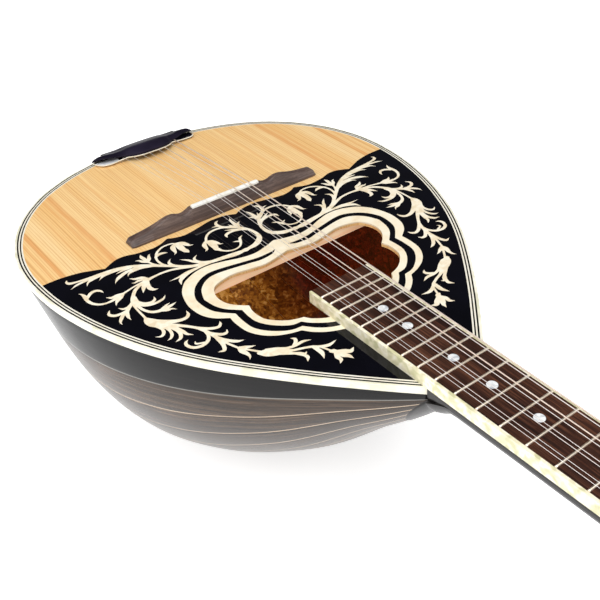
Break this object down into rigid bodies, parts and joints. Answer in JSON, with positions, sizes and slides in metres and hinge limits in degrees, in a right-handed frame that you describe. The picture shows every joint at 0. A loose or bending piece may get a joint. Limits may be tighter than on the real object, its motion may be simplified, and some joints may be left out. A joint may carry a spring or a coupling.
{
  "type": "bouzouki",
  "caption": "Bowl-backed long-necked lute with an inlaid flat top, a floating bridge, paired strings and open-geared tuning machines on a tilted head.",
  "frame": {"origin": "centre of the strap button head at the tail", "axes": "+Y from the tail to the head along the strings, +Z out of the soundboard, +X to the treble side"},
  "size_m": [0.3032, 0.9767, 0.1917],
  "materials": {
    "walnut": "satin lacquer",
    "maple_line": "satin lacquer",
    "ebonised": "gloss lacquer",
    "spruce_inner": "bare wood",
    "amber_pearl": "pearl pattern sheet",
    "spruce": "gloss lacquer",
    "cream_pearl": "pearl pattern celluloid",
    "purfling": "alternating lines",
    "black_gloss": "polished",
    "cream_inlay": "polished, flush",
    "rosewood": "oiled",
    "bone": "polished bone",
    "nickel": "nickel plate",
    "dark_neck": "satin lacquer",
    "steel": "bright steel",
    "bronze": "wound string",
    "brass": "satin"
  },
  "bodies": {
    "instrument": {"bowl_ribs": "walnut", "rib_lines": "maple_line", "side_cap": "ebonised", "tail_cap": "ebonised", "neck_block": "spruce_inner", "tail_block": "spruce_inner", "rim_lining": "spruce_inner", "bowl_lining": "amber_pearl", "soundboard": "spruce", "soundboard_braces": "spruce_inner", "rim_binding": "cream_pearl", "rim_purfling": "purfling", "pickguard": "black_gloss", "soundhole_rings": "cream_inlay", "vine_inlay": "cream_inlay", "tailpiece_plate": "nickel", "tailpiece_screws": "nickel", "tailpiece_cover": "black_gloss", "strap_button": "nickel", "strap_button_screw": "nickel", "neck": "dark_neck", "truss_rod": "steel", "fretboard": "rosewood", "fretboard_binding": "cream_pearl", "frets": "nickel", "fret_dots": "cream_pearl", "nut": "bone", "headstock_veneer": "black_gloss", "truss_rod_cover": "cream_pearl", "tuner_plates": "nickel", "small_screws": "nickel", "post_bushings": "nickel", "plain_strings": "steel", "wound_strings": "bronze"},
    "floating_bridge": {"bridge": "rosewood", "saddle": "bone"},
    "string_post_1": {"tuner_post_1": "nickel", "tuner_gear_1": "brass"},
    "tuning_key_1": {"tuner_shaft_1": "steel"},
    "string_post_2": {"tuner_post_2": "nickel", "tuner_gear_2": "brass"},
    "tuning_key_2": {"tuner_shaft_2": "steel"},
    "string_post_3": {"tuner_post_3": "nickel", "tuner_gear_3": "brass"},
    "tuning_key_3": {"tuner_shaft_3": "steel"},
    "string_post_4": {"tuner_post_4": "nickel", "tuner_gear_4": "brass"},
    "tuning_key_4": {"tuner_shaft_4": "steel"},
    "string_post_5": {"tuner_post_5": "nickel", "tuner_gear_5": "brass"},
    "tuning_key_5": {"tuner_shaft_5": "steel"},
    "string_post_6": {"tuner_post_6": "nickel", "tuner_gear_6": "brass"},
    "tuning_key_6": {"tuner_shaft_6": "steel"},
    "string_post_7": {"tuner_post_7": "nickel", "tuner_gear_7": "brass"},
    "tuning_key_7": {"tuner_shaft_7": "steel"},
    "string_post_8": {"tuner_post_8": "nickel", "tuner_gear_8": "brass"},
    "tuning_key_8": {"tuner_shaft_8": "steel"}
  },
  "joints": [
    {"name": "bridge_shift", "type": "slide", "parent": "instrument", "child": "floating_bridge", "axis": [0, 1, 0], "range_m": [-0.0015, 0.0015]},
    {"name": "post_turn_1", "type": "hinge", "parent": "instrument", "child": "string_post_1", "pos_m": [0.02, 0.83725, 0.00394], "axis": [0, 0.2079, 0.9781], "continuous": true},
    {"name": "key_turn_1", "type": "hinge", "parent": "instrument", "child": "tuning_key_1", "pos_m": [0.02, 0.84567, 0.00216], "axis": [1, 0, 0], "continuous": true},
    {"name": "post_turn_2", "type": "hinge", "parent": "instrument", "child": "string_post_2", "pos_m": [0.02, 0.86073, -0.00105], "axis": [0, 0.2079, 0.9781], "continuous": true},
    {"name": "key_turn_2", "type": "hinge", "parent": "instrument", "child": "tuning_key_2", "pos_m": [0.02, 0.86914, -0.00283], "axis": [1, 0, 0], "continuous": true},
    {"name": "post_turn_3", "type": "hinge", "parent": "instrument", "child": "string_post_3", "pos_m": [0.02, 0.88421, -0.00604], "axis": [0, 0.2079, 0.9781], "continuous": true},
    {"name": "key_turn_3", "type": "hinge", "parent": "instrument", "child": "tuning_key_3", "pos_m": [0.02, 0.89262, -0.00782], "axis": [1, 0, 0], "continuous": true},
    {"name": "post_turn_4", "type": "hinge", "parent": "instrument", "child": "string_post_4", "pos_m": [0.02, 0.90768, -0.01103], "axis": [0, 0.2079, 0.9781], "continuous": true},
    {"name": "key_turn_4", "type": "hinge", "parent": "instrument", "child": "tuning_key_4", "pos_m": [0.02, 0.91609, -0.01281], "axis": [1, 0, 0], "continuous": true},
    {"name": "post_turn_5", "type": "hinge", "parent": "instrument", "child": "string_post_5", "pos_m": [-0.02, 0.83725, 0.00394], "axis": [0, 0.2079, 0.9781], "continuous": true},
    {"name": "key_turn_5", "type": "hinge", "parent": "instrument", "child": "tuning_key_5", "pos_m": [-0.02, 0.84567, 0.00216], "axis": [1, 0, 0], "continuous": true},
    {"name": "post_turn_6", "type": "hinge", "parent": "instrument", "child": "string_post_6", "pos_m": [-0.02, 0.86073, -0.00105], "axis": [0, 0.2079, 0.9781], "continuous": true},
    {"name": "key_turn_6", "type": "hinge", "parent": "instrument", "child": "tuning_key_6", "pos_m": [-0.02, 0.86914, -0.00283], "axis": [1, 0, 0], "continuous": true},
    {"name": "post_turn_7", "type": "hinge", "parent": "instrument", "child": "string_post_7", "pos_m": [-0.02, 0.88421, -0.00604], "axis": [0, 0.2079, 0.9781], "continuous": true},
    {"name": "key_turn_7", "type": "hinge", "parent": "instrument", "child": "tuning_key_7", "pos_m": [-0.02, 0.89262, -0.00782], "axis": [1, 0, 0], "continuous": true},
    {"name": "post_turn_8", "type": "hinge", "parent": "instrument", "child": "string_post_8", "pos_m": [-0.02, 0.90768, -0.01103], "axis": [0, 0.2079, 0.9781], "continuous": true},
    {"name": "key_turn_8", "type": "hinge", "parent": "instrument", "child": "tuning_key_8", "pos_m": [-0.02, 0.91609, -0.01281], "axis": [1, 0, 0], "continuous": true}
  ],
  "couplings": [
    {"joint": "post_turn_1", "follows": "key_turn_1", "ratio": 0.066667},
    {"joint": "post_turn_2", "follows": "key_turn_2", "ratio": 0.066667},
    {"joint": "post_turn_3", "follows": "key_turn_3", "ratio": 0.066667},
    {"joint": "post_turn_4", "follows": "key_turn_4", "ratio": 0.066667},
    {"joint": "post_turn_5", "follows": "key_turn_5", "ratio": 0.066667},
    {"joint": "post_turn_6", "follows": "key_turn_6", "ratio": 0.066667},
    {"joint": "post_turn_7", "follows": "key_turn_7", "ratio": 0.066667},
    {"joint": "post_turn_8", "follows": "key_turn_8", "ratio": 0.066667}
  ]
}
